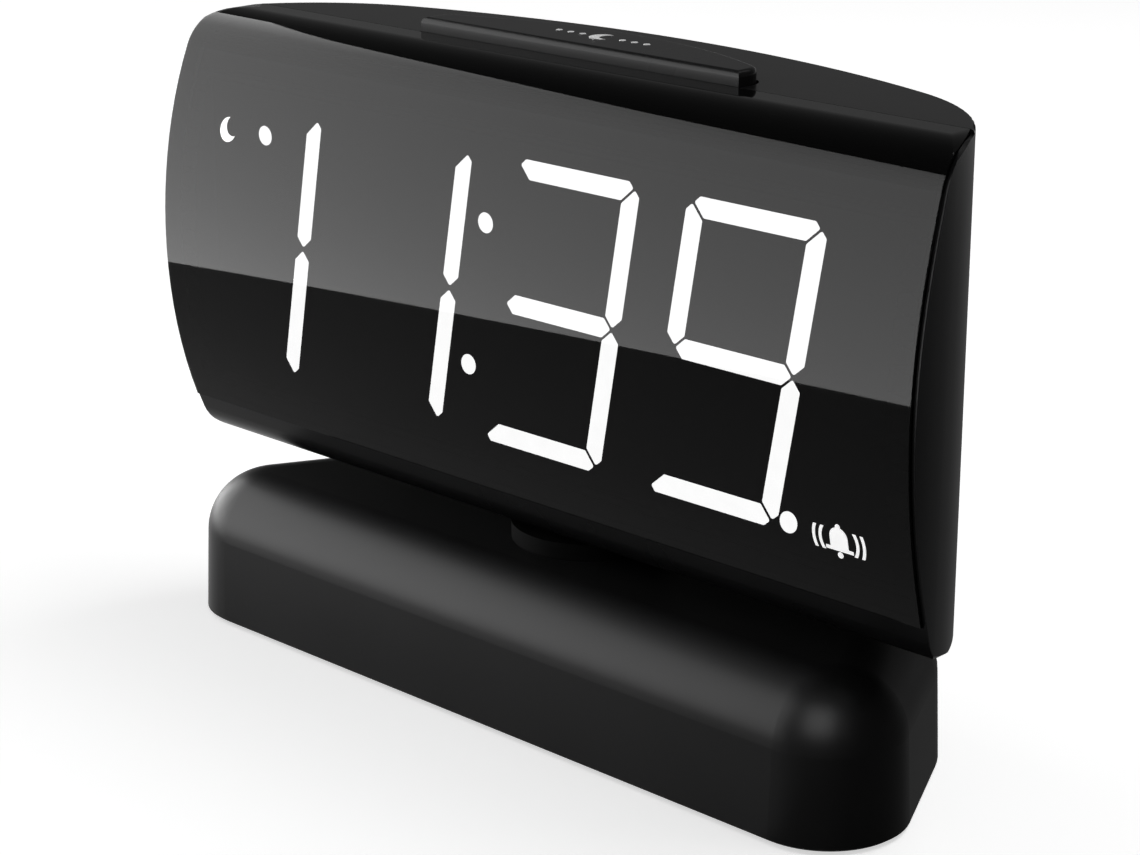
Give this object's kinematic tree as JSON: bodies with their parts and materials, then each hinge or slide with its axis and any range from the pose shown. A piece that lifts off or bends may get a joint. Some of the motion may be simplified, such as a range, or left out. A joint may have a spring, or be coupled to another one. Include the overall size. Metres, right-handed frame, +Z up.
{
  "type": "digital alarm clock",
  "caption": "Digital alarm clock with a wide curved display head that swivels on a short neck above a weighted base, with a snooze bar, rear buttons, slide switches and a sliding battery door.",
  "frame": {"origin": "middle of the base on the surface it stands on", "axes": "+Z up, the display faces -Y, +X to the right of someone reading it"},
  "size_m": [0.152, 0.047, 0.0995],
  "materials": {
    "case_black": "satin",
    "plate_black": "matte",
    "smoked_lens": "gloss",
    "button_black": "matte",
    "rubber": "matte",
    "screw_steel": "zinc plated",
    "ballast_steel": "plain",
    "mask_black": "matte",
    "lit_white": "lit diffuser",
    "unlit_grey": "smoked diffuser",
    "print_white": "ink",
    "board_green": "laminate",
    "led_yellow": "epoxy",
    "contact_metal": "nickel",
    "capacitor_blue": "sleeve"
  },
  "bodies": {
    "root": {"base_shell": "case_black", "base_plate": "plate_black", "rubber_feet": "rubber", "base_screws": "screw_steel", "ballast_weight": "ballast_steel", "ballast_screws": "screw_steel", "pivot_bush": "plate_black"},
    "head": {"alarm_switch_body": "mask_black", "backup_cell": "contact_metal", "board_header": "mask_black", "board_spacers": "mask_black", "button_board": "board_green", "button_switches": "mask_black", "buzzer": "mask_black", "cell_contact": "contact_metal", "cell_holder": "mask_black", "cell_holder_pins": "contact_metal", "clock_chip": "mask_black", "colon_dots": "lit_white", "crystal_can": "contact_metal", "dimmer_switch_body": "mask_black", "display_board": "board_green", "display_leds": "led_yellow", "display_mask": "mask_black", "front_frame": "case_black", "indicator_dots": "lit_white", "indicator_prints": "print_white", "jack_pin": "contact_metal", "lens": "smoked_lens", "lit_segments": "lit_white", "main_board": "board_green", "neck_screws": "screw_steel", "pivot_neck": "plate_black", "pivot_retainer": "plate_black", "power_chip": "mask_black", "power_jack": "mask_black", "rear_shell": "case_black", "retainer_screw": "screw_steel", "shell_screws": "screw_steel", "smoothing_capacitors": "capacitor_blue", "snooze_board": "board_green", "snooze_board_screws": "screw_steel", "snooze_springs": "contact_metal", "snooze_switches": "mask_black", "unlit_segments": "unlit_grey"},
    "snooze_bar": {"snooze_bar": "case_black", "snooze_print": "print_white"},
    "time_button": {"time_button": "button_black"},
    "alarm_button": {"alarm_button": "button_black"},
    "hour_button": {"hour_button": "button_black"},
    "minute_button": {"minute_button": "button_black"},
    "alarm_slider": {"alarm_slider": "button_black"},
    "dimmer_slider": {"dimmer_slider": "button_black"},
    "battery_door": {"battery_door": "plate_black"}
  },
  "joints": [
    {"name": "head_swivel", "type": "hinge", "parent": "root", "child": "head", "pos_m": [0, 0.0021, 0.0254], "axis": [0, 0, 1], "range_deg": [-60, 60]},
    {"name": "snooze_press", "type": "slide", "parent": "head", "child": "snooze_bar", "axis": [0, 0, -1], "range_m": [0, 0.0012], "stiffness_N_per_m": 600, "springref_m": -0.001, "deforming": ["snooze_springs"]},
    {"name": "time_press", "type": "slide", "parent": "head", "child": "time_button", "axis": [0, -1, 0], "range_m": [0, 0.0008], "stiffness_N_per_m": 400, "springref_m": -0.0008},
    {"name": "alarm_press", "type": "slide", "parent": "head", "child": "alarm_button", "axis": [0, -1, 0], "range_m": [0, 0.0008], "stiffness_N_per_m": 400, "springref_m": -0.0008},
    {"name": "hour_press", "type": "slide", "parent": "head", "child": "hour_button", "axis": [0, -1, 0], "range_m": [0, 0.0008], "stiffness_N_per_m": 400, "springref_m": -0.0008},
    {"name": "minute_press", "type": "slide", "parent": "head", "child": "minute_button", "axis": [0, -1, 0], "range_m": [0, 0.0008], "stiffness_N_per_m": 400, "springref_m": -0.0008},
    {"name": "alarm_slide", "type": "slide", "parent": "head", "child": "alarm_slider", "axis": [1, 0, 0], "range_m": [0, 0.004]},
    {"name": "dimmer_slide", "type": "slide", "parent": "head", "child": "dimmer_slider", "axis": [1, 0, 0], "range_m": [0, 0.004]},
    {"name": "battery_door_slide", "type": "slide", "parent": "head", "child": "battery_door", "axis": [1, 0, 0], "range_m": [0, 0.024]}
  ]
}
